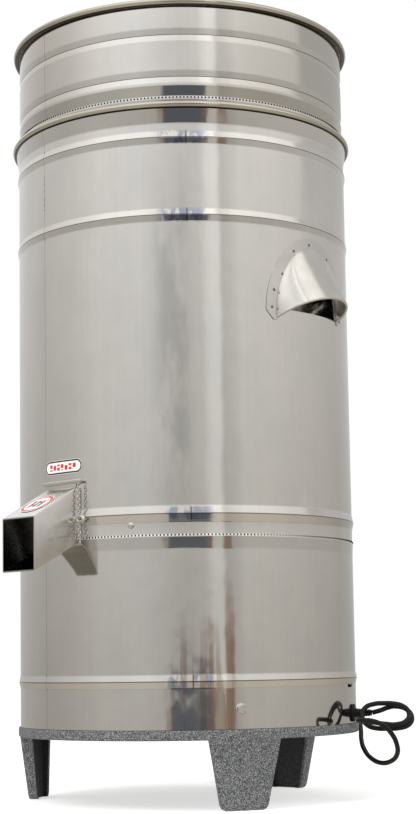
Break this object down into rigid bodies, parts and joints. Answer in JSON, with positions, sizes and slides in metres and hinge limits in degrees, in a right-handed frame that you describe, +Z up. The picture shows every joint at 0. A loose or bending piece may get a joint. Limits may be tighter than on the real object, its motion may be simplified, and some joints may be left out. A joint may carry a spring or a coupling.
{
  "type": "upright drum mill",
  "caption": "Upright stainless steel drum mill on a three-legged cast base: open feed ring on top, side discharge chute with slide gate, small vent hood, motor inside and mains cord.",
  "frame": {"origin": "on the floor under the drum's axis, at the middle of the machine's footprint", "axes": "+Z up along the drum's axis; -Y is the front, which faces the viewer between the chute and the hood; +X is the right, the side of the cord"},
  "size_m": [0.4664, 0.5227, 0.9079],
  "materials": {
    "stainless_sheet": "polished stainless sheet, mirror bright, with fine vertical polishing marks",
    "hammered_paint": "silver-grey hammered paint with dark veins",
    "zinc_plate": "bright zinc plate",
    "label_film": null,
    "motor_paint": "grey enamel",
    "core_steel": "stacked electrical steel",
    "blade_steel": "ground tool steel",
    "black_rubber": "satin black rubber",
    "black_plastic": "moulded black plastic",
    "grey_plastic": "moulded grey plastic",
    "pin_brass": "bright brass"
  },
  "bodies": {
    "machine": {"base_casting": "hammered_paint", "drum_shell": "stainless_sheet", "floor_plate": "stainless_sheet", "leg_bolt_1": "zinc_plate", "leg_bolt_2": "zinc_plate", "leg_bolt_3": "zinc_plate", "floor_screw_1": "zinc_plate", "floor_screw_2": "zinc_plate", "floor_screw_3": "zinc_plate", "discharge_chute": "stainless_sheet", "vent_hood": "stainless_sheet", "outlet_label": "label_film", "chute_badge": "label_film", "motor_top_shield": "motor_paint", "motor_housing": "motor_paint", "stator_core": "core_steel", "motor_bottom_shield": "motor_paint", "lower_bearing": "zinc_plate", "upper_bearing": "zinc_plate", "shaft_seal": "black_rubber", "fan_cowl": "grey_plastic", "motor_bolt_1": "zinc_plate", "motor_bolt_2": "zinc_plate", "motor_bolt_3": "zinc_plate", "motor_bolt_4": "zinc_plate", "terminal_box": "black_plastic", "terminal_box_lid": "black_plastic", "motor_lead": "black_rubber", "start_capacitor": "black_plastic", "run_capacitor": "black_plastic", "capacitor_strap": "zinc_plate", "cord_gland": "black_rubber", "supply_cord": "black_rubber", "supply_cord_coil": "black_rubber", "supply_cord_tail": "black_rubber", "cord_clip": "black_plastic", "mains_plug": "black_plastic", "plug_pin_1": "pin_brass", "plug_pin_2": "pin_brass", "plug_pin_3": "pin_brass"},
    "rotor": {"motor_shaft": "blade_steel", "rotor_core": "core_steel", "cooling_fan": "black_plastic", "blade_hub": "motor_paint", "lower_blade": "blade_steel", "blade_spacer": "motor_paint", "upper_blade": "blade_steel", "blade_washer": "zinc_plate", "blade_nut": "zinc_plate"},
    "feed_ring": {"feed_ring": "stainless_sheet"},
    "gate": {"gate_plate": "stainless_sheet"},
    "chain": {"keeper_chain": "zinc_plate", "chain_ring": "zinc_plate", "chain_end": "zinc_plate"}
  },
  "joints": [
    {"name": "rotor_spin", "type": "hinge", "parent": "machine", "child": "rotor", "pos_m": [0, 0, 0.25], "axis": [0, 0, 1], "continuous": true},
    {"name": "feed_ring_lift", "type": "slide", "parent": "machine", "child": "feed_ring", "axis": [0, 0, 1], "range_m": [0, 0.12]},
    {"name": "gate_slide", "type": "slide", "parent": "machine", "child": "gate", "axis": [0, 0, 1], "range_m": [0, 0.058]},
    {"name": "chain_swing", "type": "hinge", "parent": "gate", "child": "chain", "pos_m": [-0.11913, -0.16827, 0.3602], "axis": [-0.6947, -0.7193, 0], "range_deg": [0, 40]}
  ]
}
